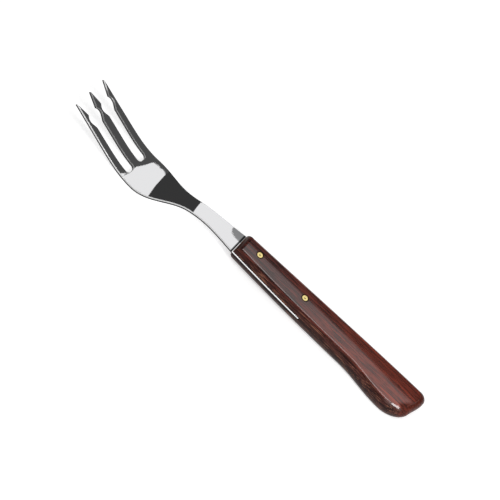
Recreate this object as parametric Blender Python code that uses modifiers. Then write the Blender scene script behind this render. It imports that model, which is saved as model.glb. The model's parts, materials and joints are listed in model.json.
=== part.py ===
"""Steak fork: a stamped steel blade in the saw slot of a wooden handle, held by two brass rivets.

Units are metres and +Z is up. The fork is drawn flat on the bench: the handle's front is at x = 0, the
handle runs towards +X, the tines point towards -X, and the middle of the tang is the plane z = 0. The
empty "fork_rest" then tips the finished fork until its shoulder and its handle end stand on z = 0, and
centres it over the origin.
"""
import math

import bmesh
import bpy
from mathutils import Matrix, Vector
from mathutils.geometry import interpolate_bezier

# Steel blade, stamped flat, with shank, flare, palm and tines following one another from the handle
SHEET_THICKNESS = 0.0015
TANG_LENGTH = 0.041
SHANK_LENGTH = 0.026
FLARE_LENGTH = 0.025
PALM_LENGTH = 0.0055
TINE_LENGTH = 0.0365
NECK_WIDTH = 0.0078
MIDDLE_TINE_WIDTH = 0.0040
OUTER_TINE_WIDTH = 0.0036
OUTER_TINE_END_WIDTH = 0.0030
TIP_SPAN = 0.0203
TINE_GAP = 0.0051
GAP_CORNER_RADIUS = 0.0018

# Barbed tine ends, with barb, barb back and notch following one another from the tips
BARB_LENGTH = 0.0066
BARB_BACK_LENGTH = 0.0022
NOTCH_LENGTH = 0.0041
BARB_BACK_ANGLE = math.radians(42)
MIDDLE_BARB_WIDTH = 0.0034
MIDDLE_NOTCH_WIDTH = 0.0011
OUTER_BARB_WIDTH = 0.0024
OUTER_NOTCH_WIDTH = 0.0015

# Bends of the blade in side view, with the drop starting ahead of the handle and the lift overlapping it
DROP_START = 0.009
DROP_LENGTH = 0.026
DROP_ANGLE = math.radians(23.3)
LIFT_OVERLAP = 0.003
LIFT_LENGTH = 0.040
TINE_ANGLE = math.radians(24.1)

# Wooden handle
HANDLE_LENGTH = 0.107
FRONT_THICKNESS = 0.0090
REAR_THICKNESS = 0.0081
FRONT_NEAR_REACH = 0.0057
FRONT_FAR_REACH = 0.0067
FRONT_CORNER_RADIUS = 0.0010
WAIST_SETBACK = 0.040
WAIST_REACH = 0.00765
SWELL_SETBACK = 0.014
SWELL_REACH = 0.0105
END_SLANT = 0.0021
END_NEAR_REACH = 0.0035
END_FAR_REACH = 0.0063
HEEL_SETBACK = 0.0029
HEEL_REACH = 0.0093
TOP_LEAN = 0.0022
UNDERSIDE_LEAN = 0.0013
FRONT_LEAN = 0.0027
END_LEAN = 0.0031
EDGE_ANGLE = math.radians(65)

# Brass rivets
FRONT_RIVET_SETBACK = 0.0099
REAR_RIVET_SETBACK = 0.0039
RIVET_OFFSET = 0.0004
RIVET_SHANK_DIAMETER = 0.0025
RIVET_HEAD_OVERHANG = 0.0003
RIVET_HEAD_RIM = 0.0005
RIVET_HEAD_TAPER = 0.0006
RIVET_RECESS = 0.00006
DIMPLE_DIAMETER = 0.0009
DIMPLE_DEPTH = 0.0003

# Fits
FIT_CLEARANCE = 0.0003
WELD_DISTANCE = 1e-6
FOLD_TOLERANCE = 1e-5

# Facets
FOLD_STEP = 0.002
CURVE_STEPS = 10
EDGE_LAYERS = 5
RIVET_STEPS = 32
SMOOTH_ANGLE = math.radians(30)

# Curve handles as shares of the chord, and how much steeper than its chord a flare starts
SWEEP_SHARE = 0.37
FLAT_SWEEP_SHARE = 0.25
ROUND_SHARE = 0.39
FLARE_FACTOR = 2

# Search for the rest pose
REST_SEARCH_ANGLE = math.radians(30)
REST_SEARCH_STEPS = 50

# Colours as linear red, green, blue
STEEL_COLOUR = (0.62, 0.62, 0.63)
WOOD_COLOUR = (0.085, 0.022, 0.016)
BRASS_COLOUR = (0.72, 0.50, 0.20)


def clear_scene():
    """Remove every object that is already in the scene."""
    for old in list(bpy.data.objects):
        bpy.data.objects.remove(old)


def new_collection(name):
    """Collection linked to the scene."""
    collection = bpy.data.collections.new(name)
    bpy.context.scene.collection.children.link(collection)
    return collection


def new_material(name, colour, metallic, roughness):
    """Principled material of one colour."""
    material = bpy.data.materials.new(name)
    material.use_nodes = True
    shader = material.node_tree.nodes["Principled BSDF"]
    shader.inputs["Base Color"].default_value = (*colour, 1.0)
    shader.inputs["Metallic"].default_value = metallic
    shader.inputs["Roughness"].default_value = roughness
    return material


def add_part(name, mesh, collection, material, rest):
    """Named sub-part that is carried by the resting empty."""
    mesh.materials.append(material)
    part = bpy.data.objects.new(name, mesh)
    part.parent = rest
    collection.objects.link(part)
    return part


def add_cutter(name, mesh, collection, rest):
    """Tool shape that only cuts other pieces."""
    cutter = bpy.data.objects.new(name, mesh)
    cutter.parent = rest
    cutter.hide_render = True
    cutter.display_type = "WIRE"
    collection.objects.link(cutter)
    return cutter


def cut(part, cutter):
    """Boolean difference that stays on the part."""
    boolean = part.modifiers.new(cutter.name, "BOOLEAN")
    boolean.operation = "DIFFERENCE"
    boolean.solver = "EXACT"
    boolean.object = cutter


def eased(start, start_heading, end, end_heading, tension=SWEEP_SHARE):
    """Points after start, up to end, of a curve that leaves and arrives along the given headings."""
    first = Vector((*start, 0.0))
    last = Vector((*end, 0.0))
    reach = tension * (last - first).length
    leave = first + Vector((*start_heading, 0.0)).normalized() * reach
    arrive = last - Vector((*end_heading, 0.0)).normalized() * reach
    points = interpolate_bezier(first, leave, arrive, last, CURVE_STEPS + 1)
    return [(point.x, point.y) for point in points[1:]]


def between(x, start, end):
    """Height y at x on the straight line from start to end."""
    return start[1] + (end[1] - start[1]) * (x - start[0]) / (end[0] - start[0])


# Handle


def half_thickness(x):
    """Half the handle's thickness at a distance from its front."""
    return 0.5 * (FRONT_THICKNESS + (REAR_THICKNESS - FRONT_THICKNESS) * x / HANDLE_LENGTH)


def near_edge(share, side):
    """Handle edge on the -Y side, front corner to swell, with side and a share of the end leans taken off."""
    front = (share * FRONT_LEAN, side - FRONT_NEAR_REACH)
    waist = (HANDLE_LENGTH - WAIST_SETBACK, side - WAIST_REACH)
    swell = (HANDLE_LENGTH - SWELL_SETBACK, side - SWELL_REACH)
    flare = (waist[0] - front[0], FLARE_FACTOR * (waist[1] - front[1]))
    to_waist = eased(front, flare, waist, (1, 0))
    return [front] + to_waist + eased(waist, (1, 0), swell, (1, 0))


def end_edge(share, side):
    """Slanted, rounded handle end, from just after the swell to the heel on the +Y side."""
    end_x = HANDLE_LENGTH - share * END_LEAN
    swell = (HANDLE_LENGTH - SWELL_SETBACK, side - SWELL_REACH)
    near = (end_x - END_SLANT, -END_NEAR_REACH)
    far = (end_x, END_FAR_REACH - side)
    heel = (end_x - HEEL_SETBACK, HEEL_REACH - side)
    slant = (far[0] - near[0], far[1] - near[1])
    corner = eased(swell, (1, 0), near, slant)
    return corner + eased(near, slant, far, (0, 1)) + eased(far, (0, 1), heel, (-1, 0))


def far_edge(share, side):
    """Handle edge on the +Y side, from just after the heel round the front corner."""
    front_x = share * FRONT_LEAN
    front_y = FRONT_FAR_REACH - side
    heel = (HANDLE_LENGTH - share * END_LEAN - HEEL_SETBACK, HEEL_REACH - side)
    turn_in = (front_x + FRONT_CORNER_RADIUS, front_y)
    front = (front_x, front_y - FRONT_CORNER_RADIUS)
    flare = (turn_in[0] - heel[0], turn_in[1] - heel[1])
    to_front = eased(heel, (-1, 0), turn_in, flare, FLAT_SWEEP_SHARE)
    return to_front + eased(turn_in, flare, front, (0, -1), ROUND_SHARE)


def handle_outline(share, side):
    """Handle outline seen from above, counter-clockwise from the front corner on the -Y side."""
    return near_edge(share, side) + end_edge(share, side) + far_edge(share, side)


def handle_mesh():
    """Loft of outlines whose edge follows an arc that meets both flats in a crease."""
    bm = bmesh.new()
    rings = []
    for layer in range(-EDGE_LAYERS, EDGE_LAYERS + 1):
        angle = EDGE_ANGLE * layer / EDGE_LAYERS
        share = (1 - math.cos(angle)) / (1 - math.cos(EDGE_ANGLE))
        side = share * (TOP_LEAN if layer > 0 else UNDERSIDE_LEAN)
        rise = math.sin(angle) / math.sin(EDGE_ANGLE)
        outline = handle_outline(share, side)
        rings.append([bm.verts.new((x, y, rise * half_thickness(x))) for x, y in outline])
    for lower, upper in zip(rings, rings[1:]):
        for i in range(len(lower)):
            bm.faces.new((lower[i - 1], lower[i], upper[i], upper[i - 1]))
    bm.faces.new(reversed(rings[0]))
    bm.faces.new(rings[-1])
    return finished_mesh(bm, "handle")


def slot_mesh():
    """Saw slot, open at the handle's front and at both sides."""
    length = 2 * (TANG_LENGTH + FIT_CLEARANCE)
    width = 2 * (SWELL_REACH + HEEL_REACH)
    height = SHEET_THICKNESS + 2 * FIT_CLEARANCE
    bm = bmesh.new()
    bmesh.ops.create_cube(bm, size=1.0, matrix=Matrix.Diagonal((length, width, height, 1)))
    return finished_mesh(bm, "saw_slot")


def finished_mesh(bm, name):
    """Mesh data with smooth faces and sharp creases."""
    mesh = bpy.data.meshes.new(name)
    bm.to_mesh(mesh)
    bm.free()
    mesh.shade_smooth()
    mesh.set_sharp_from_angle(angle=SMOOTH_ANGLE)
    return mesh


# Blade


def bend_turn(distance, length):
    """Share of a bend's slope that is reached at a distance into it."""
    t = min(max(distance / length, 0.0), 1.0)
    return 3 * t ** 2 - 2 * t ** 3


def bend_rise(distance, length):
    """Rise per unit of slope at a distance into a bend, and along the straight after it."""
    t = min(max(distance / length, 0.0), 1.0)
    return length * (t ** 3 - t ** 4 / 2) + max(distance - length, 0.0)


def formed(point):
    """Place of a point of the flat blank after the blade is bent in side view."""
    dropped = -point.x - DROP_START
    lifted = dropped - DROP_LENGTH + LIFT_OVERLAP
    fall = math.tan(DROP_ANGLE)
    climb = math.tan(DROP_ANGLE) + math.tan(TINE_ANGLE)
    slope = climb * bend_turn(lifted, LIFT_LENGTH) - fall * bend_turn(dropped, DROP_LENGTH)
    height = climb * bend_rise(lifted, LIFT_LENGTH) - fall * bend_rise(dropped, DROP_LENGTH)
    square = math.hypot(1, slope)
    return Vector((point.x + point.z * slope / square, point.y, height + point.z / square))


def fork_half():
    """Edge of the fork on the +Y side, from the handle's front to the middle tine's tip."""
    shoulder_x = -SHANK_LENGTH - FLARE_LENGTH
    root_x = shoulder_x - PALM_LENGTH
    tip_x = root_x - TINE_LENGTH
    middle = MIDDLE_TINE_WIDTH / 2
    inner = middle + TINE_GAP
    shank = (0.0, FRONT_NEAR_REACH)
    neck = (-SHANK_LENGTH, NECK_WIDTH / 2)
    shoulder = (shoulder_x, inner + OUTER_TINE_WIDTH)
    tip = (tip_x, TIP_SPAN / 2)
    flare = (neck[0] - shank[0], FLARE_FACTOR * (neck[1] - shank[1]))
    notch_back = BARB_LENGTH + BARB_BACK_LENGTH
    body_back = notch_back + NOTCH_LENGTH

    def outer_tine(back, width):
        x = tip_x + back
        return (x, between(x, shoulder, tip) - width)

    def middle_tine(back, width):
        return (tip_x + back, width / 2)

    outer_barb = outer_tine(BARB_LENGTH, OUTER_BARB_WIDTH)
    outer_notch = outer_tine(notch_back, OUTER_NOTCH_WIDTH)
    outer_body = outer_tine(body_back, OUTER_TINE_END_WIDTH)
    middle_body = middle_tine(body_back, MIDDLE_TINE_WIDTH)
    middle_notch = middle_tine(notch_back, MIDDLE_NOTCH_WIDTH)
    middle_barb = middle_tine(BARB_LENGTH, MIDDLE_BARB_WIDTH)
    barb_back = math.tan(BARB_BACK_ANGLE)
    outer_rise = (outer_body[0] - outer_notch[0], outer_body[1] - outer_notch[1])
    middle_fall = (middle_notch[0] - middle_body[0], middle_notch[1] - middle_body[1])

    edge = [shank]
    edge += eased(shank, flare, neck, (-1, 0))
    edge += eased(neck, (-1, 0), shoulder, (-1, 0))
    edge += [tip, outer_barb]
    edge += eased(outer_barb, (1, barb_back), outer_notch, (1, 0))
    edge += eased(outer_notch, (1, 0), outer_body, outer_rise)
    edge += rounded_root(root_x, inner, middle)
    edge += [middle_body]
    edge += eased(middle_body, middle_fall, middle_notch, (-1, 0))
    edge += eased(middle_notch, (-1, 0), middle_barb, (-1, barb_back))
    edge += [middle_tine(0.0, 0.0)]
    return edge


def rounded_root(root_x, outer_y, inner_y):
    """Closed end of the gap between two tines, with round corners."""
    radius = min(GAP_CORNER_RADIUS, (TINE_GAP - FIT_CLEARANCE) / 2)
    start = (root_x - radius, outer_y)
    first = (root_x, outer_y - radius)
    second = (root_x, inner_y + radius)
    end = (root_x - radius, inner_y)
    round_in = eased(start, (1, 0), first, (0, -1), ROUND_SHARE)
    return [start] + round_in + [second] + eased(second, (0, -1), end, (-1, 0), ROUND_SHARE)


def tang_edge(edge):
    """Part of a handle edge, given from the front, that the tang lies flush with."""
    inside = [point for point in edge if point[0] < TANG_LENGTH]
    end_y = between(TANG_LENGTH, inside[-1], edge[len(inside)])
    return inside + [(TANG_LENGTH, end_y)]


def blank_outline():
    """Outline of the flat blank, clockwise from the tang's end on the -Y side."""
    half = fork_half()
    near_tang = tang_edge(near_edge(0.0, 0.0))
    heel_to_front = end_edge(0.0, 0.0)[-1:] + far_edge(0.0, 0.0)
    far_tang = tang_edge(heel_to_front[::-1])
    near_half = [(x, -y) for x, y in half[1:]]
    return near_tang[::-1] + near_half + half[-2:0:-1] + far_tang


def circle(centre_x, radius):
    """Round hole outline for a rivet."""
    turns = [2 * math.pi * i / RIVET_STEPS for i in range(RIVET_STEPS)]
    return [(centre_x + radius * math.cos(a), RIVET_OFFSET + radius * math.sin(a)) for a in turns]


def is_between_folds(edge):
    """True for an edge that crosses a flat of the blank from one fold line to another."""
    rear = max(vert.co.x for vert in edge.verts)
    front = min(vert.co.x for vert in edge.verts)
    on_flat = edge.verts[0].co.z * edge.verts[1].co.z > 0 and edge.calc_face_angle(math.pi) < SMOOTH_ANGLE
    return on_flat and rear < FOLD_TOLERANCE and rear - front > FOLD_TOLERANCE


def blade_mesh():
    """Blank cut from sheet, with its rivet holes, bent to its side view."""
    curve = bpy.data.curves.new("blank", "CURVE")
    curve.dimensions = "2D"
    curve.fill_mode = "BOTH"
    curve.extrude = SHEET_THICKNESS / 2
    hole_radius = RIVET_SHANK_DIAMETER / 2 + FIT_CLEARANCE
    for loop in [blank_outline()] + [circle(x, hole_radius) for x in rivet_places()]:
        spline = curve.splines.new("POLY")
        spline.points.add(len(loop) - 1)
        for spot, (x, y) in zip(spline.points, loop):
            spot.co = (x, y, 0.0, 1.0)
        spline.use_cyclic_u = True
    blank = bpy.data.objects.new("blank", curve)
    bpy.context.scene.collection.objects.link(blank)
    flat = bpy.data.meshes.new_from_object(blank.evaluated_get(bpy.context.evaluated_depsgraph_get()))
    bpy.data.objects.remove(blank)
    bm = bmesh.new()
    bm.from_mesh(flat)
    bmesh.ops.remove_doubles(bm, verts=bm.verts, dist=WELD_DISTANCE)
    fold_x = 0.0
    while fold_x > min(vert.co.x for vert in bm.verts):
        everything = bm.verts[:] + bm.edges[:] + bm.faces[:]
        place = (fold_x, 0.0, 0.0)
        bmesh.ops.bisect_plane(bm, geom=everything, dist=FOLD_TOLERANCE, plane_co=place, plane_no=(1, 0, 0))
        fold_x -= FOLD_STEP
    bmesh.ops.dissolve_edges(bm, edges=[e for e in bm.edges if is_between_folds(e)], use_verts=True)
    for vert in bm.verts:
        vert.co = formed(vert.co)
    bmesh.ops.recalc_face_normals(bm, faces=bm.faces)
    return finished_mesh(bm, "fork_blade")


# Rivets


def rivet_places():
    """Distances of the rivets from the handle's front."""
    return (FRONT_RIVET_SETBACK, TANG_LENGTH - REAR_RIVET_SETBACK)


def turned_mesh(name, profile):
    """Mesh of a profile of radius and height, top to bottom."""
    mesh = bpy.data.meshes.new(name)
    edges = [(i, i + 1) for i in range(len(profile) - 1)]
    mesh.from_pydata([(radius, 0.0, height) for radius, height in profile], edges, [])
    return mesh


def turn(part):
    """Revolve a part's profile about its own Z axis."""
    screw = part.modifiers.new("turned", "SCREW")
    screw.axis = "Z"
    screw.steps = RIVET_STEPS
    screw.render_steps = RIVET_STEPS
    screw.use_merge_vertices = True
    screw.merge_threshold = WELD_DISTANCE
    screw.use_smooth_shade = False


def rivet_profile(half_length):
    """Countersunk rivet with a centre dimple in both ends, top to bottom."""
    shank = RIVET_SHANK_DIAMETER / 2
    head = shank + RIVET_HEAD_OVERHANG
    upper = [
        (0.0, half_length - DIMPLE_DEPTH),
        (DIMPLE_DIAMETER / 2, half_length),
        (head, half_length),
        (head, half_length - RIVET_HEAD_RIM),
        (shank, half_length - RIVET_HEAD_RIM - RIVET_HEAD_TAPER),
    ]
    return upper + [(radius, -height) for radius, height in upper[::-1]]


def rivet_hole_profile(half_length):
    """Countersunk hole around the rivet, carried past both flats of the handle."""
    shank = RIVET_SHANK_DIAMETER / 2 + FIT_CLEARANCE
    head = shank + RIVET_HEAD_OVERHANG
    upper = [
        (0.0, FRONT_THICKNESS),
        (head, FRONT_THICKNESS),
        (head, half_length - RIVET_HEAD_RIM - FIT_CLEARANCE),
        (shank, half_length - RIVET_HEAD_RIM - RIVET_HEAD_TAPER - FIT_CLEARANCE),
    ]
    return upper + [(radius, -height) for radius, height in upper[::-1]]


# Rest pose


def lowest(points, angle):
    """Lowest height of points tipped about +Y."""
    return min(point.z * math.cos(angle) - point.x * math.sin(angle) for point in points)


def resting_angle(front, rear):
    """Angle about +Y at which both groups of points reach equally low."""
    low = -REST_SEARCH_ANGLE
    high = REST_SEARCH_ANGLE
    for _ in range(REST_SEARCH_STEPS):
        angle = (low + high) / 2
        if lowest(front, angle) < lowest(rear, angle):
            low = angle
        else:
            high = angle
    return (low + high) / 2


def stand(rest, blade, handle):
    """Tip the fork onto its shoulder and handle end, over the origin."""
    front = [vert.co for vert in blade.data.vertices]
    rear = [vert.co for vert in handle.data.vertices]
    tip = Matrix.Rotation(resting_angle(front, rear), 4, "Y")
    points = [tip @ point for point in front + rear]
    middle_x = (min(p.x for p in points) + max(p.x for p in points)) / 2
    middle_y = (min(p.y for p in points) + max(p.y for p in points)) / 2
    rest.rotation_euler = tip.to_euler()
    rest.location = (-middle_x, -middle_y, -min(p.z for p in points))


def main():
    clear_scene()
    parts = new_collection("steak_fork")
    cutters = new_collection("fork_cutters")
    steel = new_material("polished_steel", STEEL_COLOUR, metallic=1.0, roughness=0.12)
    wood = new_material("dark_hardwood", WOOD_COLOUR, metallic=0.0, roughness=0.35)
    brass = new_material("brass", BRASS_COLOUR, metallic=1.0, roughness=0.25)

    rest = bpy.data.objects.new("fork_rest", None)
    parts.objects.link(rest)
    blade = add_part("fork_blade", blade_mesh(), parts, steel, rest)
    handle = add_part("handle", handle_mesh(), parts, wood, rest)
    cut(handle, add_cutter("saw_slot", slot_mesh(), cutters, rest))
    for name, x in zip(("front_rivet", "rear_rivet"), rivet_places()):
        half_length = half_thickness(x) - RIVET_RECESS
        rivet = add_part(name, turned_mesh(name, rivet_profile(half_length)), parts, brass, rest)
        rivet.location = (x, RIVET_OFFSET, 0.0)
        turn(rivet)
        hole_name = name + "_hole"
        hole = add_cutter(hole_name, turned_mesh(hole_name, rivet_hole_profile(half_length)), cutters, rest)
        hole.location = rivet.location
        turn(hole)
        cut(handle, hole)
    stand(rest, blade, handle)


main()
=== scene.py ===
"""Steak fork: fine surfaces, materials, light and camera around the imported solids.

Units are metres. Pieces are shaped in the bench frame, with the handle's front at x = 0, the handle towards
+X, the tines towards -X and the middle of the tang at z = 0, and then take the fork's rest pose.
"""
import json
import math

import bmesh
import bpy
from mathutils import Matrix, Quaternion, Vector
from mathutils.geometry import interpolate_bezier


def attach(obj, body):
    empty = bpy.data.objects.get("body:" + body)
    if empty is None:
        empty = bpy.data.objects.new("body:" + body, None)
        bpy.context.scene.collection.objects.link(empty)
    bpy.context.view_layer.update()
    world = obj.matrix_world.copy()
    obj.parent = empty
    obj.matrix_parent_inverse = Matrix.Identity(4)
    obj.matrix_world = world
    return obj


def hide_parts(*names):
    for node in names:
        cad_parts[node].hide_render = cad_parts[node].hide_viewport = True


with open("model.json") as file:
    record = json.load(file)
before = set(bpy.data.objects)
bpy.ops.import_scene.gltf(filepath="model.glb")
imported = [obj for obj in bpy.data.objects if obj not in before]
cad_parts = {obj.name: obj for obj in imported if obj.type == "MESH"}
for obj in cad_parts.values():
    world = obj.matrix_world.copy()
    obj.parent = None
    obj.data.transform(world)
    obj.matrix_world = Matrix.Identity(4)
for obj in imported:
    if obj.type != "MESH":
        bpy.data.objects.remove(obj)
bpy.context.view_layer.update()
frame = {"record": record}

# Steel blade, stamped flat
SHEET_THICKNESS = 0.0015
TANG_LENGTH = 0.041
SHANK_LENGTH = 0.026
FLARE_LENGTH = 0.025
PALM_LENGTH = 0.0055
TINE_LENGTH = 0.0365
NECK_WIDTH = 0.0078
MIDDLE_TINE_WIDTH = 0.0040
OUTER_TINE_WIDTH = 0.0036
OUTER_TINE_END_WIDTH = 0.0030
TIP_SPAN = 0.0203
TINE_GAP = 0.0051
GAP_CORNER_RADIUS = 0.0018
RIM_RADIUS = 0.00015

# Barbed tine ends
BARB_LENGTH = 0.0066
BARB_BACK_LENGTH = 0.0022
NOTCH_LENGTH = 0.0041
BARB_BACK_ANGLE = math.radians(42)
MIDDLE_BARB_WIDTH = 0.0034
MIDDLE_NOTCH_WIDTH = 0.0011
OUTER_BARB_WIDTH = 0.0024
OUTER_NOTCH_WIDTH = 0.0015

# Bends of the blade in side view
DROP_START = 0.009
DROP_LENGTH = 0.026
DROP_ANGLE = math.radians(23.3)
LIFT_OVERLAP = 0.003
LIFT_LENGTH = 0.040
TINE_ANGLE = math.radians(24.1)

# Wooden handle
HANDLE_LENGTH = 0.107
FRONT_THICKNESS = 0.0090
REAR_THICKNESS = 0.0081
FRONT_NEAR_REACH = 0.0057
FRONT_FAR_REACH = 0.0067
FRONT_CORNER_RADIUS = 0.0010
WAIST_SETBACK = 0.040
WAIST_REACH = 0.00765
SWELL_SETBACK = 0.014
SWELL_REACH = 0.0105
END_SLANT = 0.0021
END_NEAR_REACH = 0.0035
END_FAR_REACH = 0.0063
HEEL_SETBACK = 0.0029
HEEL_REACH = 0.0093
TOP_LEAN = 0.0022
UNDERSIDE_LEAN = 0.0013
FRONT_LEAN = 0.0027
END_LEAN = 0.0031
EDGE_ANGLE = math.radians(65)
CROWN_SHARE = 0.042

# Brass rivets
FRONT_RIVET_SETBACK = 0.0099
REAR_RIVET_SETBACK = 0.0039
RIVET_OFFSET = 0.0004
RIVET_SHANK_DIAMETER = 0.0025
RIVET_HEAD_OVERHANG = 0.0003
RIVET_HEAD_RIM = 0.0005
RIVET_HEAD_TAPER = 0.0006
RIVET_RECESS = 0.00006
DIMPLE_DIAMETER = 0.0009
DIMPLE_DEPTH = 0.0003
FIT_CLEARANCE = 0.0003

# Facets, those of the handle's crown stretched along it
FOLD_STEP = 0.0006
CROWN_STEP = 0.0008
CROWN_STRETCH = 3
CURVE_STEPS = 24
EDGE_LAYERS = 14
RIVET_STEPS = 64
RIM_STEPS = 5
WELD_DISTANCE = 1e-6
FOLD_TOLERANCE = 1e-6
SLIVER_LENGTH = 2e-5
SMOOTH_ANGLE = math.radians(20)

# Curve handles as shares of the chord, and how much steeper than its chord a flare starts
SWEEP_SHARE = 0.37
FLAT_SWEEP_SHARE = 0.25
ROUND_SHARE = 0.39
FLARE_FACTOR = 2

# Where the record states the handle's top face
TOP_FACE_X = 0.060

# Camera, in the bench frame
VIEW_ELEVATION = math.radians(51)
VIEW_ROLL = math.radians(43.62)
VIEW_CENTRE = Vector((0.00518, 0.00224, 0.0))
VIEW_WIDTH = 0.2193
LENS = 200.0
SENSOR = 36.0

# Steel: colours, and the ranges over which one gives way to another. Levels run from -1 on the sheet's
# underside to 1 on its top. The other ranges are places in the bench frame.
STEEL_COLOUR = (0.78, 0.78, 0.79)
TANG_COLOUR = (0.95, 0.95, 0.95)
CUT_COLOUR = (0.62, 0.62, 0.62)
# Painted shade: the cut edges in the gaps between the tines are painted darker than the other cut edges
GAP_SHADE_COLOUR = (0.20, 0.20, 0.20)
# Painted shade: the lower, fracture part of the cut edges is painted near black
TORN_SHADE_COLOUR = (0.02, 0.02, 0.02)
# Painted shade and painted reflection: a dark line on the steel just before the handle's front
JOINT_SHADE_COLOUR = (0.03, 0.03, 0.03)
FACE_LEVELS = (0.990, 0.9995)
TORN_SHADE_LEVELS = (0.05, 0.25)
TANG_START = (-0.001, 0.0)
GAP_ROOT = -SHANK_LENGTH - FLARE_LENGTH - PALM_LENGTH
GAP_ROOTS = (GAP_ROOT - 0.0005, GAP_ROOT + 0.0010)
OUTER_TINE_MIDDLE = (MIDDLE_TINE_WIDTH + OUTER_TINE_WIDTH) / 2 + TINE_GAP
GAP_SIDES = (OUTER_TINE_MIDDLE - 0.0004, OUTER_TINE_MIDDLE + 0.0001)
JOINT_SHADE_START = (-0.0012, -0.0008)
JOINT_SHADE_END = (-0.0002, 0.0)
ROLLING_LINES = {"scale": (90.0, 2500.0, 2500.0), "detail": 3.0}
STEEL_ROUGHNESS = (0.004, 0.012)
CUT_ROUGHNESS = 0.40
STEEL_BUMP = {"strength": 0.008, "distance": 0.0001}

# Wood: the noises of its grain and the range of each that counts, its colours, of which pairs are for the
# front and the rear, and where in the bench frame they change
BANDS = {"scale": (14.0, 190.0, 190.0), "detail": 3.0, "distortion": 0.6}
STREAKS = {"scale": (70.0, 1100.0, 1100.0), "detail": 4.0, "roughness": 0.6}
FLECKS = {"scale": (90.0, 2600.0, 2600.0), "roughness": 0.6}
PORES = {"scale": (220.0, 3200.0, 3200.0)}
BAND_RANGE = (0.35, 0.65)
STREAK_RANGE = (0.38, 0.60)
FLECK_RANGE = (0.57, 0.64)
PORE_RANGE = (0.30, 0.42)
# Painted light and shade: the same wood takes lighter colours on its top and the end's rim, darker ones on
# its sides
LIT_TOP_DARK = ((0.066, 0.017, 0.014), (0.185, 0.028, 0.014))
LIT_TOP_LIGHT = ((0.165, 0.038, 0.028), (0.325, 0.052, 0.026))
SHADED_SIDE_DARK = (0.026, 0.009, 0.008)
SHADED_SIDE_LIGHT = ((0.072, 0.024, 0.019), (0.140, 0.046, 0.036))
STREAK_COLOURS = ((0.020, 0.008, 0.007), (0.085, 0.015, 0.009))
FLECK_COLOUR = (0.260, 0.110, 0.068)
PORE_COLOUR = (0.018, 0.007, 0.006)
END_RIM_COLOUR = (0.045, 0.014, 0.010)
END_RIM_SHARE = 0.6
# Painted highlight: a lighter line painted along the handle's front edge
FRONT_HIGHLIGHT_COLOUR = (0.26, 0.13, 0.09)
FRONT_HIGHLIGHT_SHARE = 0.5
FRONT_HIGHLIGHT_EDGE = (0.0002, 0.0006)
LIT_TOP_START = (FRONT_THICKNESS / 2 - 0.0013, FRONT_THICKNESS / 2 - 0.0004)
REAR_START = (0.02, 0.085)
END_RIM_START = (HANDLE_LENGTH - 0.0050, HANDLE_LENGTH - 0.0028)
END_RIM_SLANT = {"source": (-0.0060, 0.0), "target": (0.0052, 0.0)}
END_RIM_CORNER = {"source": (-0.0072, -0.0058), "target": (-0.0035, 0.0)}
WOOD_ROUGHNESS = (0.22, 0.34)
WOOD_SPECULAR = 0.1
PORE_BUMP = {"strength": 0.15, "distance": 0.00005}
COAT_START = (0.0018, 0.0030)
COAT_FACING = (0.55, 0.88)
COAT_ROUGHNESS = 0.10
COAT_IOR = 1.70

# Brass: the punch mark and the rim are ranges of distance from the rivet's middle; the rim is painted dark
# as painted shade that widens the gap round the head
BRASS_COLOUR = (1.0, 0.81, 0.34)
DARK_MARK_AND_RIM_SHADE_COLOUR = (0.05, 0.03, 0.015)
MARK_EDGE = (0.2 * DIMPLE_DIAMETER, 0.5 * DIMPLE_DIAMETER)
RIM_SHADE_RADII = (0.00122, 0.00142)
SCRATCHES = {"scale": (2200.0, 9000.0, 400.0), "detail": 3.0}
BRASS_ROUGHNESS = (0.06, 0.14)
BRASS_BUMP = {"strength": 0.1, "distance": 0.00002}

# Range that most values of a noise lie in
NOISE_RANGE = (0.3, 0.7)

# Floor, world and lamps
WHITE = (1.0, 1.0, 1.0)
BLACK = (0.0, 0.0, 0.0)
FLOOR_SIZE = 6.0
FLOOR_COLOUR = (0.80, 0.80, 0.80)
FLOOR_ROUGHNESS = 0.9
FLOOR_GLOW = 0.52
AMBIENT = 0.40
KEY_SOFTBOX = {
    "place": (0.60, -0.47, 0.71),
    "width": 0.46,
    "length": 0.22,
    "power": 3.6,
    "roll": math.radians(-42),
}
STRIP_SOFTBOX = {
    "place": (0.05, -0.45, 0.90),
    "width": 1.20,
    "length": 0.15,
    "power": 2.0,
}

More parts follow.
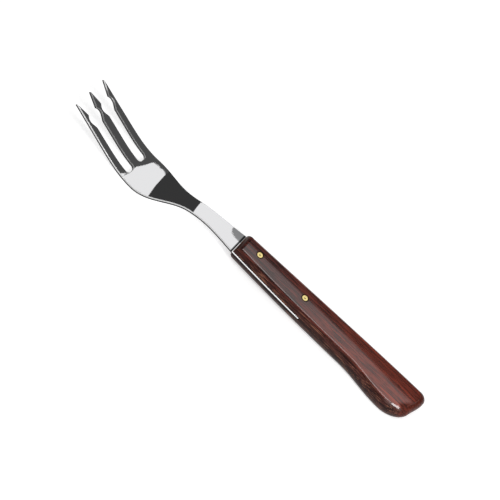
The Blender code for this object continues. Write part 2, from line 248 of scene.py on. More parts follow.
# Dark cards that the steel mirrors. Upright ones have an outline in bench x and z and stand at a distance
# along +Y, or along -Y where it is negative. Overhead ones have an outline in bench x and y and hang at a
# height. A card with a fade turns white over that range of distances from its middle.
CARD_SPLIT = -0.1285
CARD_REACH = 1.0
UPRIGHT_CARDS = {
    "tine_card": {
        "distance": 0.150,
        "glow": 0.085,
        "outline": (
            (CARD_SPLIT, 0.0), (CARD_SPLIT, 0.1485), (-0.096, 0.161), (-0.068, 0.1665), (-0.053, 0.168),
            (-0.035, 0.1735), (-0.008, 0.177), (-0.008, 0.183), (0.024, 0.1807), (0.060, 0.1807),
            (0.110, 0.188), (CARD_REACH, 0.188), (CARD_REACH, 0.0),
        ),
    },
    "neck_card": {
        "distance": 0.150,
        "glow": 0.045,
        "outline": (
            (-CARD_REACH, 0.0), (-CARD_REACH, 0.1625), (-0.165, 0.1625), (-0.1445, 0.1595),
            (-0.133, 0.1555), (CARD_SPLIT, 0.150), (CARD_SPLIT, 0.0),
        ),
    },
    "shank_card": {
        "distance": 0.400,
        "glow": 0.045,
        "outline": (
            (-0.360, 0.390), (-0.360, 0.432), (-0.286, 0.432), (-0.2915, 0.418), (-0.2925, 0.390),
        ),
    },
    "tang_card": {
        "distance": 0.1495,
        "glow": 0.30,
        "outline": (
            (-0.0092, 0.1765), (-0.0092, 0.1802), (-0.0083, 0.1827), (-0.0062, 0.1841),
            (-0.003, 0.1848), (0.003, 0.1852), (0.003, 0.1765),
        ),
    },
    "low_card": {
        "distance": 0.149,
        "glow": 0.010,
        "outline": ((-CARD_REACH, 0.0), (-CARD_REACH, 0.112), (CARD_REACH, 0.112), (CARD_REACH, 0.0)),
    },
    "front_card": {
        "distance": -0.55,
        "glow": 0.03,
        "outline": ((-0.17, 0.06), (-0.17, 3.0), (0.13, 3.0), (0.13, 0.06)),
    },
    "side_card": {
        "distance": -0.9,
        "glow": 0.06,
        "fade": (0.2, 0.6),
        "outline": ((0.45, 0.05), (0.45, 2.2), (1.65, 2.2), (1.65, 0.05)),
    },
}
OVERHEAD_CARDS = {
    "ceiling_card": {
        "height": 0.9,
        "glow": 0.12,
        "fade": (0.05, 0.50),
        "outline": ((-0.60, -0.30), (0.40, -0.30), (0.40, 0.30), (-0.60, 0.30)),
    },
    "tip_card": {
        "height": 0.9,
        "glow": 0.30,
        "fade": (0.05, 0.45),
        "outline": ((0.55, -0.30), (1.45, -0.30), (1.45, 0.30), (0.55, 0.30)),
    },
}


def eased(start, start_heading, end, end_heading, tension=SWEEP_SHARE):
    """Points after start, up to end, of a curve that leaves and arrives along the given headings."""
    first = Vector((*start, 0.0))
    last = Vector((*end, 0.0))
    reach = tension * (last - first).length
    leave = first + Vector((*start_heading, 0.0)).normalized() * reach
    arrive = last - Vector((*end_heading, 0.0)).normalized() * reach
    points = interpolate_bezier(first, leave, arrive, last, CURVE_STEPS + 1)
    return [(point.x, point.y) for point in points[1:]]


def between(x, start, end):
    """Height y at x on the straight line from start to end."""
    return start[1] + (end[1] - start[1]) * (x - start[0]) / (end[0] - start[0])


def height_on(x, edge):
    """Height y at x on an edge whose points run from the front to the rear."""
    for start, end in zip(edge, edge[1:]):
        if x <= end[0]:
            return between(max(x, start[0]), start, end)
    return edge[-1][1]


def creased(mesh):
    """The mesh with smooth faces and sharp creases."""
    mesh.shade_smooth()
    mesh.set_sharp_from_angle(angle=SMOOTH_ANGLE)
    return mesh


def made_mesh(bm, name):
    """Creased mesh of a bmesh, which is freed."""
    mesh = bpy.data.meshes.new(name)
    bm.to_mesh(mesh)
    bm.free()
    return creased(mesh)


def evaluated_mesh(made):
    """Mesh of an object as its modifiers leave it. The object is removed."""
    bpy.context.scene.collection.objects.link(made)
    mesh = bpy.data.meshes.new_from_object(made.evaluated_get(bpy.context.evaluated_depsgraph_get()))
    bpy.data.objects.remove(made)
    return mesh


def cut_across(bm, geometry, axis, spot):
    """Cut parts of a bmesh square to an axis. Returns the faces they end up as."""
    place = Vector()
    direction = Vector()
    place[axis] = spot
    direction[axis] = 1.0
    cut = bmesh.ops.bisect_plane(bm, geom=geometry, dist=FOLD_TOLERANCE, plane_co=place, plane_no=direction)
    return [part for part in cut["geom"] if isinstance(part, bmesh.types.BMFace)]


def add_piece(name, mesh, material, node, centre=(0.0, 0.0, 0.0)):
    """Piece in the fork's rest pose that stands for a CAD node. Its mesh is drawn around centre."""
    rest = rest_matrix()
    mesh.transform(rest.to_3x3().to_4x4())
    mesh.materials.clear()
    mesh.materials.append(material)
    piece = bpy.data.objects.new(name, mesh)
    piece.location = rest @ Vector(centre)
    bpy.context.scene.collection.objects.link(piece)
    weighted = piece.modifiers.new("even_normals", "WEIGHTED_NORMAL")
    weighted.keep_sharp = True
    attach(piece, "root")
    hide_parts(node)


def rest_matrix():
    """Bench frame to world, from where the record puts the handle's top face."""
    mount = next(m for m in frame["record"]["mounts"] if m["name"] == "handle_top")
    axis = Vector(mount["axis"])
    taper = math.atan2(FRONT_THICKNESS - REAR_THICKNESS, 2 * HANDLE_LENGTH)
    tip = Matrix.Rotation(math.atan2(axis.x, axis.z) - taper, 4, "Y")
    top = tip @ Vector((TOP_FACE_X, 0.0, half_thickness(TOP_FACE_X)))
    return Matrix.Translation(Vector(mount["pos_m"]) - top) @ tip


# Handle


def half_thickness(x):
    """Half the handle's thickness at a distance from its front."""
    return 0.5 * (FRONT_THICKNESS + (REAR_THICKNESS - FRONT_THICKNESS) * x / HANDLE_LENGTH)


def near_edge(share, side):
    """Handle edge on the -Y side, front corner to swell, less side and a share of the leans of the ends."""
    front = (share * FRONT_LEAN, side - FRONT_NEAR_REACH)
    waist = (HANDLE_LENGTH - WAIST_SETBACK, side - WAIST_REACH)
    swell = (HANDLE_LENGTH - SWELL_SETBACK, side - SWELL_REACH)
    flare = (waist[0] - front[0], FLARE_FACTOR * (waist[1] - front[1]))
    to_waist = eased(front, flare, waist, (1, 0))
    return [front] + to_waist + eased(waist, (1, 0), swell, (1, 0))


def end_edge(share, side):
    """Slanted, rounded handle end, from just after the swell to the heel on the +Y side."""
    end_x = HANDLE_LENGTH - share * END_LEAN
    swell = (HANDLE_LENGTH - SWELL_SETBACK, side - SWELL_REACH)
    near = (end_x - END_SLANT, -END_NEAR_REACH)
    far = (end_x, END_FAR_REACH - side)
    heel = (end_x - HEEL_SETBACK, HEEL_REACH - side)
    slant = (far[0] - near[0], far[1] - near[1])
    corner = eased(swell, (1, 0), near, slant)
    return corner + eased(near, slant, far, (0, 1)) + eased(far, (0, 1), heel, (-1, 0))


def far_edge(share, side):
    """Handle edge on the +Y side, from just after the heel round the front corner."""
    front_x = share * FRONT_LEAN
    front_y = FRONT_FAR_REACH - side
    heel = (HANDLE_LENGTH - share * END_LEAN - HEEL_SETBACK, HEEL_REACH - side)
    turn_in = (front_x + FRONT_CORNER_RADIUS, front_y)
    front = (front_x, front_y - FRONT_CORNER_RADIUS)
    flare = (turn_in[0] - heel[0], turn_in[1] - heel[1])
    to_front = eased(heel, (-1, 0), turn_in, flare, FLAT_SWEEP_SHARE)
    return to_front + eased(turn_in, flare, front, (0, -1), ROUND_SHARE)


def handle_outline(share, side):
    """Handle outline seen from above, counter-clockwise from the front corner on the -Y side."""
    return near_edge(share, side) + end_edge(share, side) + far_edge(share, side)


def crown(x, y):
    """Rise of the slightly crowned top of the handle above its flat at a place."""
    low = height_on(x, near_edge(1.0, TOP_LEAN))
    high = height_on(x, far_edge(1.0, TOP_LEAN)[::-1])
    across = (2 * y - low - high) / (high - low)
    return CROWN_SHARE * (high - low) / 2 * max(1 - across ** 2, 0.0)


def crown_top(bm, top):
    """Cut the handle's top face into small facets and raise them to its crown."""
    caps = [top]
    along = (0, 0.0, HANDLE_LENGTH, CROWN_STRETCH * CROWN_STEP)
    across = (1, -SWELL_REACH, HEEL_REACH, CROWN_STEP)
    for axis, start, end, step in (along, across):
        spot = start + CROWN_STEP
        while spot < end:
            verts = {vert for cap in caps for vert in cap.verts}
            edges = {edge for cap in caps for edge in cap.edges}
            caps = cut_across(bm, [*verts, *edges, *caps], axis, spot)
            spot += step
    for vert in {vert for cap in caps for vert in cap.verts}:
        vert.co.z += crown(vert.co.x, vert.co.y)


def handle_mesh():
    """Loft of outlines whose edge follows an arc, creased at the flat underside and the crowned top."""
    bm = bmesh.new()
    rings = []
    for layer in range(-EDGE_LAYERS, EDGE_LAYERS + 1):
        angle = EDGE_ANGLE * layer / EDGE_LAYERS
        share = (1 - math.cos(angle)) / (1 - math.cos(EDGE_ANGLE))
        side = share * (TOP_LEAN if layer > 0 else UNDERSIDE_LEAN)
        rise = math.sin(angle) / math.sin(EDGE_ANGLE)
        outline = handle_outline(share, side)
        rings.append([bm.verts.new((x, y, rise * half_thickness(x))) for x, y in outline])
    for lower, upper in zip(rings, rings[1:]):
        for i in range(len(lower)):
            bm.faces.new((lower[i - 1], lower[i], upper[i], upper[i - 1]))
    bm.faces.new(reversed(rings[0]))
    crown_top(bm, bm.faces.new(rings[-1]))
    bmesh.ops.recalc_face_normals(bm, faces=bm.faces)
    return made_mesh(bm, "handle")


def slot_mesh():
    """Saw slot, open at the handle's front and at both sides."""
    length = 2 * (TANG_LENGTH + FIT_CLEARANCE)
    width = 2 * (SWELL_REACH + HEEL_REACH)
    height = SHEET_THICKNESS + 2 * FIT_CLEARANCE
    bm = bmesh.new()
    bmesh.ops.create_cube(bm, size=1.0, matrix=Matrix.Diagonal((length, width, height, 1)))
    return made_mesh(bm, "saw_slot")


def cut_handle():
    """Handle with its saw slot and rivet holes."""
    handle = bpy.data.objects.new("handle_blank", handle_mesh())
    cutters = [bpy.data.objects.new("saw_slot", slot_mesh())]
    for x in rivet_places():
        hole = turned_mesh("hole", rivet_hole_profile(x))
        hole.transform(Matrix.Translation((x, RIVET_OFFSET, 0.0)))
        cutters.append(bpy.data.objects.new("rivet_hole", hole))
    for cutter in cutters:
        bpy.context.scene.collection.objects.link(cutter)
        boolean = handle.modifiers.new(cutter.name, "BOOLEAN")
        boolean.operation = "DIFFERENCE"
        boolean.solver = "EXACT"
        boolean.object = cutter
    mesh = evaluated_mesh(handle)
    for cutter in cutters:
        bpy.data.objects.remove(cutter)
    return creased(mesh)


# Blade


def bend_turn(distance, length):
    """Share of a bend's slope that is reached at a distance into it."""
    t = min(max(distance / length, 0.0), 1.0)
    return 3 * t ** 2 - 2 * t ** 3


def bend_rise(distance, length):
    """Rise per unit of slope at a distance into a bend, and along the straight after it."""
    t = min(max(distance / length, 0.0), 1.0)
    return length * (t ** 3 - t ** 4 / 2) + max(distance - length, 0.0)


def formed(point):
    """Place of a point of the flat blank after the blade is bent in side view."""
    dropped = -point.x - DROP_START
    lifted = dropped - DROP_LENGTH + LIFT_OVERLAP
    fall = math.tan(DROP_ANGLE)
    climb = math.tan(DROP_ANGLE) + math.tan(TINE_ANGLE)
    slope = climb * bend_turn(lifted, LIFT_LENGTH) - fall * bend_turn(dropped, DROP_LENGTH)
    height = climb * bend_rise(lifted, LIFT_LENGTH) - fall * bend_rise(dropped, DROP_LENGTH)
    square = math.hypot(1, slope)
    return Vector((point.x + point.z * slope / square, point.y, height + point.z / square))


def fork_half():
    """Edge of the fork on the +Y side, from the handle's front to the middle tine's tip."""
    shoulder_x = -SHANK_LENGTH - FLARE_LENGTH
    root_x = shoulder_x - PALM_LENGTH
    tip_x = root_x - TINE_LENGTH
    middle = MIDDLE_TINE_WIDTH / 2
    inner = middle + TINE_GAP
    shank = (0.0, FRONT_NEAR_REACH)
    neck = (-SHANK_LENGTH, NECK_WIDTH / 2)
    shoulder = (shoulder_x, inner + OUTER_TINE_WIDTH)
    tip = (tip_x, TIP_SPAN / 2)
    flare = (neck[0] - shank[0], FLARE_FACTOR * (neck[1] - shank[1]))
    notch_back = BARB_LENGTH + BARB_BACK_LENGTH
    body_back = notch_back + NOTCH_LENGTH

    def outer_tine(back, width):
        """Inner edge of the outer tine at a distance back from its tip, where it has a width."""
        x = tip_x + back
        return (x, between(x, shoulder, tip) - width)

    def middle_tine(back, width):
        """Edge of the middle tine at a distance back from its tip, where it has a width."""
        return (tip_x + back, width / 2)

    outer_barb = outer_tine(BARB_LENGTH, OUTER_BARB_WIDTH)
    outer_notch = outer_tine(notch_back, OUTER_NOTCH_WIDTH)
    outer_body = outer_tine(body_back, OUTER_TINE_END_WIDTH)
    middle_body = middle_tine(body_back, MIDDLE_TINE_WIDTH)
    middle_notch = middle_tine(notch_back, MIDDLE_NOTCH_WIDTH)
    middle_barb = middle_tine(BARB_LENGTH, MIDDLE_BARB_WIDTH)
    barb_back = math.tan(BARB_BACK_ANGLE)
    outer_rise = (outer_body[0] - outer_notch[0], outer_body[1] - outer_notch[1])
    middle_fall = (middle_notch[0] - middle_body[0], middle_notch[1] - middle_body[1])

    edge = [shank]
    edge += eased(shank, flare, neck, (-1, 0))
    edge += eased(neck, (-1, 0), shoulder, (-1, 0))
    edge += [tip, outer_barb]
    edge += eased(outer_barb, (1, barb_back), outer_notch, (1, 0))
    edge += eased(outer_notch, (1, 0), outer_body, outer_rise)
    edge += rounded_root(root_x, inner, middle)
    edge += [middle_body]
    edge += eased(middle_body, middle_fall, middle_notch, (-1, 0))
    edge += eased(middle_notch, (-1, 0), middle_barb, (-1, barb_back))
    edge += [middle_tine(0.0, 0.0)]
    return edge


def rounded_root(root_x, outer_y, inner_y):
    """Closed end of the gap between two tines, with round corners."""
    radius = min(GAP_CORNER_RADIUS, (TINE_GAP - FIT_CLEARANCE) / 2)
    start = (root_x - radius, outer_y)
    first = (root_x, outer_y - radius)
    second = (root_x, inner_y + radius)
    end = (root_x - radius, inner_y)
    round_in = eased(start, (1, 0), first, (0, -1), ROUND_SHARE)
    return [start] + round_in + [second] + eased(second, (0, -1), end, (-1, 0), ROUND_SHARE)


def tang_edge(edge):
    """Part of a handle edge, given from the front, that the tang lies flush with."""
    inside = [point for point in edge if point[0] < TANG_LENGTH]
    end_y = between(TANG_LENGTH, inside[-1], edge[len(inside)])
    return inside + [(TANG_LENGTH, end_y)]


def blank_outline():
    """Outline of the flat blank, clockwise from the tang's end on the -Y side."""
    half = fork_half()
    near_tang = tang_edge(near_edge(0.0, 0.0))
    heel_to_front = end_edge(0.0, 0.0)[-1:] + far_edge(0.0, 0.0)
    far_tang = tang_edge(heel_to_front[::-1])
    near_half = [(x, -y) for x, y in half[1:]]
    return near_tang[::-1] + near_half + half[-2:0:-1] + far_tang


def circle(centre_x, radius):
    """Round hole outline for a rivet."""
    turns = [2 * math.pi * i / RIVET_STEPS for i in range(RIVET_STEPS)]
    return [(centre_x + radius * math.cos(a), RIVET_OFFSET + radius * math.sin(a)) for a in turns]


def is_between_folds(edge):
    """True for an edge that crosses a flat of the blank from one fold line to another."""
    rear = max(vert.co.x for vert in edge.verts)
    front = min(vert.co.x for vert in edge.verts)
    flat = all(abs(abs(vert.co.z) - SHEET_THICKNESS / 2) < WELD_DISTANCE for vert in edge.verts)
    on_flat = flat and edge.calc_face_angle(math.pi) < FOLD_TOLERANCE
    return on_flat and rear < FOLD_TOLERANCE and rear - front > FOLD_TOLERANCE


def blade_mesh():
    """Blank cut from sheet with a softened rim and rivet holes, bent to its side view."""
    curve = bpy.data.curves.new("blank", "CURVE")
    curve.dimensions = "2D"
    curve.fill_mode = "BOTH"
    curve.extrude = SHEET_THICKNESS / 2 - RIM_RADIUS
    curve.bevel_depth = RIM_RADIUS
    curve.bevel_resolution = RIM_STEPS
    curve.offset = -RIM_RADIUS
    hole_radius = RIVET_SHANK_DIAMETER / 2 + FIT_CLEARANCE
    for loop in [blank_outline()] + [circle(x, hole_radius) for x in rivet_places()]:
        spline = curve.splines.new("POLY")
        spline.points.add(len(loop) - 1)
        for spot, (x, y) in zip(spline.points, loop):
            spot.co = (x, y, 0.0, 1.0)
        spline.use_cyclic_u = True
    flat = evaluated_mesh(bpy.data.objects.new("blank", curve))
    bm = bmesh.new()
    bm.from_mesh(flat)
    bmesh.ops.remove_doubles(bm, verts=bm.verts, dist=WELD_DISTANCE)
    fold_x = 0.0
    front_x = min(vert.co.x for vert in bm.verts)
    while fold_x > front_x:
        cut_across(bm, bm.verts[:] + bm.edges[:] + bm.faces[:], 0, fold_x)
        fold_x -= FOLD_STEP
    bmesh.ops.dissolve_edges(bm, edges=[e for e in bm.edges if is_between_folds(e)], use_verts=True)
    bmesh.ops.dissolve_degenerate(bm, dist=SLIVER_LENGTH, edges=bm.edges)
    level = bm.verts.layers.float.new("level")
    for vert in bm.verts:
        vert[level] = 2 * vert.co.z / SHEET_THICKNESS
        vert.co = formed(vert.co)
    bmesh.ops.recalc_face_normals(bm, faces=bm.faces)
    return made_mesh(bm, "fork_blade")


# Rivets


def rivet_places():
    """Distances of the rivets from the handle's front."""
    return (FRONT_RIVET_SETBACK, TANG_LENGTH - REAR_RIVET_SETBACK)


def rivet_reaches(x):
    """How far the rivet at a distance from the handle's front reaches up and down."""
    down = half_thickness(x) - RIVET_RECESS
    return down + crown(x, RIVET_OFFSET), down


def turned_mesh(name, profile):
    """Body of revolution of a profile of radius and height, top to bottom."""
    mesh = bpy.data.meshes.new(name)
    edges = [(i, i + 1) for i in range(len(profile) - 1)]
    mesh.from_pydata([(radius, 0.0, height) for radius, height in profile], edges, [])
    turned = bpy.data.objects.new(name, mesh)
    screw = turned.modifiers.new("turned", "SCREW")
    screw.axis = "Z"
    screw.steps = RIVET_STEPS
    screw.render_steps = RIVET_STEPS
    screw.use_merge_vertices = True
    screw.merge_threshold = WELD_DISTANCE
    return creased(evaluated_mesh(turned))


def rivet_profile(x):
    """Countersunk rivet with a centre dimple in both ends, top to bottom."""
    shank = RIVET_SHANK_DIAMETER / 2
    head = shank + RIVET_HEAD_OVERHANG
    ends = []
    for reach in rivet_reaches(x):
        ends.append([
            (0.0, reach - DIMPLE_DEPTH),
            (DIMPLE_DIAMETER / 2, reach),
            (head, reach),
            (head, reach - RIVET_HEAD_RIM),
            (shank, reach - RIVET_HEAD_RIM - RIVET_HEAD_TAPER),
        ])
    return ends[0] + [(radius, -height) for radius, height in ends[1][::-1]]


def rivet_hole_profile(x):
    """Countersunk hole around the rivet, carried past both faces of the handle."""
    shank = RIVET_SHANK_DIAMETER / 2 + FIT_CLEARANCE
    head = shank + RIVET_HEAD_OVERHANG
    ends = []
    for reach in rivet_reaches(x):
        ends.append([
            (0.0, FRONT_THICKNESS),
            (head, FRONT_THICKNESS),
            (head, reach - RIVET_HEAD_RIM - FIT_CLEARANCE),
            (shank, reach - RIVET_HEAD_RIM - RIVET_HEAD_TAPER - FIT_CLEARANCE),
        ])
    return ends[0] + [(radius, -height) for radius, height in ends[1][::-1]]


# Materials


class Nodes:
    """Node tree of a new material or world and its shader, with short ways to add the nodes used here."""

    def __init__(self, owner, shader):
        owner.use_nodes = True
        self.tree = owner.node_tree
        self.shader = self.tree.nodes[shader]

    def feed(self, node, inputs):
        """Link outputs to a node's sockets, by name or number, or set the sockets' own values."""
        for name, value in inputs.items():
            socket = node.inputs[name]
            if isinstance(value, bpy.types.NodeSocket):
                self.tree.links.new(value, socket)
            elif socket.type == "RGBA":
                socket.default_value = (*value, 1.0)
            else:
                socket.default_value = value

    def shade(self, inputs):
        """Link outputs to the shader's sockets, or set the sockets' own values."""
        self.feed(self.shader, inputs)

    def add(self, kind, inputs=None, **settings):
        """New node with its settings and inputs."""
        node = self.tree.nodes.new(kind)
        for name, value in settings.items():
            setattr(node, name, value)
        self.feed(node, inputs or {})
        return node

    def bench(self, scale=(1.0, 1.0, 1.0)):
        """Bench coordinates of a piece, from its own origin, stretched by a scale along each axis."""
        coordinates = self.add("ShaderNodeTexCoord").outputs["Object"]
        turn = (0.0, -rest_matrix().to_euler().y, 0.0)
        upright = self.add("ShaderNodeMapping", {"Vector": coordinates, "Rotation": turn}).outputs[0]
        return self.add("ShaderNodeMapping", {"Vector": upright, "Scale": scale}).outputs[0]

    def parts(self, vector):
        """The x, y and z of a vector."""
        return self.add("ShaderNodeSeparateXYZ", {0: vector}).outputs

    def noise(self, scale, detail=2.0, roughness=0.5, distortion=0.0):
        """Noise value with features of about 1/scale metres along each bench axis."""
        inputs = {
            "Vector": self.bench(scale),
            "Scale": 1.0,
            "Detail": detail,
            "Roughness": roughness,
            "Distortion": distortion,
        }
        return self.add("ShaderNodeTexNoise", inputs).outputs[0]

    def remap(self, value, source, target):
        """Value carried linearly from one range to another and kept inside it."""
        inputs = {
            "Value": value,
            "From Min": source[0],
            "From Max": source[1],
            "To Min": target[0],
            "To Max": target[1],
        }
        return self.add("ShaderNodeMapRange", inputs).outputs[0]

    def rising(self, value, source):
        """Share that grows from 0 to 1 over a range of a value."""
        return self.remap(value, source, (0.0, 1.0))

    def falling(self, value, source):
        """Share that shrinks from 1 to 0 over a range of a value."""
        return self.remap(value, source, (1.0, 0.0))

    def mixed(self, share, first, second):
        """Colour between two colours or colour outputs."""
        return self.add("ShaderNodeMix", {0: share, 6: first, 7: second}, data_type="RGBA").outputs[2]

    def math(self, operation, *values):
        """Result of a math node."""
        return self.add("ShaderNodeMath", dict(enumerate(values)), operation=operation).outputs[0]

    def product(self, first, second):
        """Two values multiplied."""
        return self.math("MULTIPLY", first, second)

    def left(self, share):
        """What a share leaves of 1."""
        return self.math("SUBTRACT", 1.0, share)

    def bump(self, height, strength, distance):
        """Normal of a surface raised by height."""
        inputs = {"Height": height, "Strength": strength, "Distance": distance}
        return self.add("ShaderNodeBump", inputs).outputs[0]


def new_material(name):
    """New material and its nodes."""
    material = bpy.data.materials.new(name)
    return material, Nodes(material, "Principled BSDF")


def steel_material():
    """Polished sheet with faint rolling lines and dull cut edges, whose lower, fracture part is painted
    near black as painted shade, and which are painted darker in the gaps as painted shade.

    A dark line of painted shade and painted reflection lies on the steel where it meets the wood, and the
    tang's edge in the handle's side is bright.
    """
    material, nodes = new_material("polished_steel")
    haze = nodes.noise(**ROLLING_LINES)
    level = nodes.add("ShaderNodeAttribute", attribute_name="level").outputs["Fac"]
    x, y = nodes.parts(nodes.bench())[:2]
    edge = nodes.falling(nodes.math("ABSOLUTE", level), FACE_LEVELS)
    tang = nodes.rising(x, TANG_START)
    polished = nodes.mixed(tang, STEEL_COLOUR, TANG_COLOUR)
    among_tines = nodes.falling(x, GAP_ROOTS)
    # Painted shade on the cut edges in the gaps between the tines
    gap_shade = nodes.product(among_tines, nodes.falling(nodes.math("ABSOLUTE", y), GAP_SIDES))
    cut_colour = nodes.mixed(gap_shade, CUT_COLOUR, GAP_SHADE_COLOUR)
    cut = nodes.mixed(nodes.product(edge, nodes.left(tang)), polished, cut_colour)
    # Painted shade: the lower part of the cut edges painted near black
    torn_shade_share = nodes.product(nodes.falling(level, TORN_SHADE_LEVELS), edge)
    torn_shaded = nodes.mixed(torn_shade_share, cut, TORN_SHADE_COLOUR)
    # Painted shade and painted reflection of the handle's front, as a dark line on the steel
    joint_shade = nodes.product(nodes.rising(x, JOINT_SHADE_START), nodes.falling(x, JOINT_SHADE_END))
    polish = nodes.remap(haze, NOISE_RANGE, STEEL_ROUGHNESS)
    nodes.shade({
        "Base Color": nodes.mixed(joint_shade, torn_shaded, JOINT_SHADE_COLOUR),
        "Metallic": 1.0,
        "Roughness": nodes.math("MULTIPLY_ADD", edge, CUT_ROUGHNESS, polish),
        "Normal": nodes.bump(haze, **STEEL_BUMP),
    })
    return material


def wood_material():
    """Dark red-brown hardwood with bands, streaks, flecks and pores along it, and lacquer on its top. Its
    top is painted lighter as painted light, its sides darker as painted shade, and a painted highlight lies
    along its front edge.

    The end's rim is found by reach, a distance from the front that is shifted along the slanted end.
    """
    material, nodes = new_material("dark_hardwood")
    streaks = nodes.noise(**STREAKS)
    x, y, z = nodes.parts(nodes.bench())
    shift = nodes.math("ADD", nodes.remap(y, **END_RIM_SLANT), nodes.remap(y, **END_RIM_CORNER))
    reach = nodes.math("ADD", x, shift)
    end_rim = nodes.rising(reach, END_RIM_START)
    # Painted light and shade: the upper faces and the end's rim take the lit colours, the sides the shaded
    # ones
    upper = nodes.math("MAXIMUM", nodes.rising(z, LIT_TOP_START), end_rim)
    rear = nodes.rising(x, REAR_START)
    ruddy = nodes.product(rear, upper)
    dark = nodes.mixed(upper, SHADED_SIDE_DARK, nodes.mixed(ruddy, *LIT_TOP_DARK))
    light = nodes.mixed(upper, nodes.mixed(rear, *SHADED_SIDE_LIGHT), nodes.mixed(ruddy, *LIT_TOP_LIGHT))
    banded = nodes.mixed(nodes.rising(nodes.noise(**BANDS), BAND_RANGE), dark, light)
    streak_colour = nodes.mixed(ruddy, *STREAK_COLOURS)
    streaked = nodes.mixed(nodes.rising(streaks, STREAK_RANGE), streak_colour, banded)
    fleck_share = nodes.product(nodes.rising(nodes.noise(**FLECKS), FLECK_RANGE), nodes.left(upper))
    flecked = nodes.mixed(fleck_share, streaked, FLECK_COLOUR)
    between_pores = nodes.rising(nodes.noise(**PORES), PORE_RANGE)
    grained = nodes.mixed(between_pores, PORE_COLOUR, flecked)
    rim_share = nodes.remap(reach, END_RIM_START, (0.0, END_RIM_SHARE))
    shaded = nodes.mixed(rim_share, grained, END_RIM_COLOUR)
    # Painted highlight along the handle's front edge
    front_highlight_share = nodes.remap(x, FRONT_HIGHLIGHT_EDGE, (FRONT_HIGHLIGHT_SHARE, 0.0))
    upward = nodes.parts(nodes.add("ShaderNodeTexCoord").outputs["Normal"])[2]
    lacquered = nodes.product(nodes.rising(x, COAT_START), nodes.left(end_rim))
    nodes.shade({
        "Base Color": nodes.mixed(front_highlight_share, shaded, FRONT_HIGHLIGHT_COLOUR),
        "Roughness": nodes.remap(streaks, NOISE_RANGE, WOOD_ROUGHNESS),
        "Normal": nodes.bump(between_pores, **PORE_BUMP),
        "Specular IOR Level": WOOD_SPECULAR,
        "Coat Weight": nodes.product(nodes.rising(upward, COAT_FACING), lacquered),
        "Coat Roughness": COAT_ROUGHNESS,
        "Coat IOR": COAT_IOR,
    })
    return material


def brass_material():
    """Brass ground flush, with fine scratches, dark in the punch mark, and painted dark round the rim as
    painted shade that widens the gap round the head.
    """
    material, nodes = new_material("brass")
    scratches = nodes.noise(**SCRATCHES)
    across = nodes.bench((1.0, 1.0, 0.0))
    radius = nodes.add("ShaderNodeVectorMath", {0: across}, operation="LENGTH").outputs["Value"]
    ground = nodes.mixed(nodes.rising(radius, MARK_EDGE), DARK_MARK_AND_RIM_SHADE_COLOUR, BRASS_COLOUR)
    nodes.shade({
        # Painted shade round the rim, which widens the dark gap round the head
        "Base Color": nodes.mixed(nodes.rising(radius, RIM_SHADE_RADII), ground, DARK_MARK_AND_RIM_SHADE_COLOUR),
        "Metallic": 1.0,
        "Roughness": nodes.remap(scratches, NOISE_RANGE, BRASS_ROUGHNESS),
        "Normal": nodes.bump(scratches, **BRASS_BUMP),
    })
    return material


# Stage


def add_camera():
    """Long-lens camera that looks along +Y and down, rolled so that the handle runs to the lower right."""
    right = Vector((1.0, 0.0, 0.0))
    up = Vector((0.0, math.sin(VIEW_ELEVATION), math.cos(VIEW_ELEVATION)))
    back = right.cross(up)
    rolled_right = right * math.cos(VIEW_ROLL) + up * math.sin(VIEW_ROLL)
    rolled_up = up * math.cos(VIEW_ROLL) - right * math.sin(VIEW_ROLL)
    turn = Matrix((rolled_right, rolled_up, back)).transposed().to_4x4()
    place = VIEW_CENTRE + back * (VIEW_WIDTH * LENS / SENSOR)
    data = bpy.data.cameras.new("camera")
    data.lens = LENS
    data.sensor_width = SENSOR
    camera = bpy.data.objects.new("camera", data)
    camera.matrix_world = rest_matrix() @ Matrix.Translation(place) @ turn
    bpy.context.scene.collection.objects.link(camera)
    bpy.context.scene.camera = camera


def background_ray(nodes):
    """1 for rays that see the background: camera, glossy and transmission rays."""
    path = nodes.add("ShaderNodeLightPath").outputs
    either = nodes.math("MAXIMUM", path["Is Camera Ray"], path["Is Glossy Ray"])
    return nodes.math("MAXIMUM", either, path["Is Transmission Ray"])


def add_flat(name, places, material, matrix=None):
    """Flat face through places that isn't part of the object."""
    mesh = bpy.data.meshes.new(name)
    mesh.from_pydata(places, [], [range(len(places))])
    mesh.materials.append(material)
    card = bpy.data.objects.new(name, mesh)
    card.matrix_world = matrix or Matrix()
    bpy.context.scene.collection.objects.link(card)
    return card


def add_floor():
    """White floor that keeps the fork's shadow."""
    material, nodes = new_material("floor")
    nodes.shade({
        "Base Color": FLOOR_COLOUR,
        "Roughness": FLOOR_ROUGHNESS,
        "Specular IOR Level": 0.0,
        "Emission Color": WHITE,
        "Emission Strength": nodes.product(background_ray(nodes), FLOOR_GLOW),
    })
    half = FLOOR_SIZE / 2
    corners = ((-half, -half, 0.0), (half, -half, 0.0), (half, half, 0.0), (-half, half, 0.0))
    add_flat("floor", corners, material)


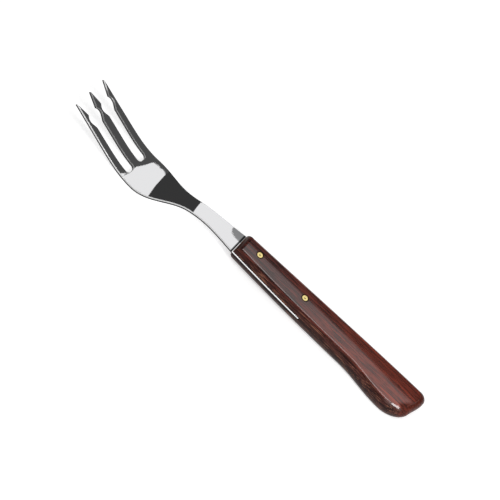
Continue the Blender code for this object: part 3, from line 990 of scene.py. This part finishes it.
def add_dark_card(name, places, glow, fade=None):
    """Dark flat card through places in the bench frame, seen only in the fork's reflections.

    It glows evenly, or fades to white over a range of distances from its middle.
    """
    material, nodes = new_material(name)
    strength = glow
    if fade:
        middle = sum(place[0] for place in places) / len(places)
        x = nodes.parts(nodes.add("ShaderNodeTexCoord").outputs["Object"])[0]
        away = nodes.math("ABSOLUTE", nodes.math("SUBTRACT", x, middle))
        strength = nodes.remap(away, fade, (glow, 1.0))
    nodes.shade({
        "Base Color": BLACK,
        "Specular IOR Level": 0.0,
        "Emission Color": WHITE,
        "Emission Strength": strength,
    })
    card = add_flat(name, places, material, rest_matrix())
    card.visible_camera = False
    card.visible_diffuse = False
    card.visible_shadow = False


def add_world():
    """White background, and a weaker even light on the object."""
    world = bpy.data.worlds.new("studio")
    bpy.context.scene.world = world
    nodes = Nodes(world, "Background")
    strength = nodes.remap(background_ray(nodes), (0.0, 1.0), (AMBIENT, 1.0))
    nodes.shade({"Color": WHITE, "Strength": strength})


def add_softbox(name, place, width, length, power, roll=0.0):
    """Rectangular lamp that faces the fork, rolled about the line to it."""
    data = bpy.data.lights.new(name, "AREA")
    data.shape = "RECTANGLE"
    data.size = width
    data.size_y = length
    data.energy = power
    lamp = bpy.data.objects.new(name, data)
    lamp.location = place
    facing = Vector(place).to_track_quat("Z", "Y") @ Quaternion((0.0, 0.0, 1.0), roll)
    lamp.rotation_euler = facing.to_euler()
    bpy.context.scene.collection.objects.link(lamp)


def main():
    """Set up the stage and add the four pieces."""
    bpy.context.scene.view_settings.view_transform = "Standard"
    add_camera()
    add_floor()
    for name, card in UPRIGHT_CARDS.items():
        places = [(x, card["distance"], z) for x, z in card["outline"]]
        add_dark_card(name, places, card["glow"], card.get("fade"))
    for name, card in OVERHEAD_CARDS.items():
        places = [(x, y, card["height"]) for x, y in card["outline"]]
        add_dark_card(name, places, card["glow"], card.get("fade"))
    add_world()
    add_softbox("key_softbox", **KEY_SOFTBOX)
    add_softbox("strip_softbox", **STRIP_SOFTBOX)
    steel = steel_material()
    wood = wood_material()
    brass = brass_material()
    add_piece("polished_blade", blade_mesh(), steel, "fork_blade")
    add_piece("lacquered_handle", cut_handle(), wood, "handle")
    for node, x in zip(("front_rivet", "rear_rivet"), rivet_places()):
        mesh = turned_mesh(node, rivet_profile(x))
        add_piece("ground_" + node, mesh, brass, node, centre=(x, RIVET_OFFSET, 0.0))


main()
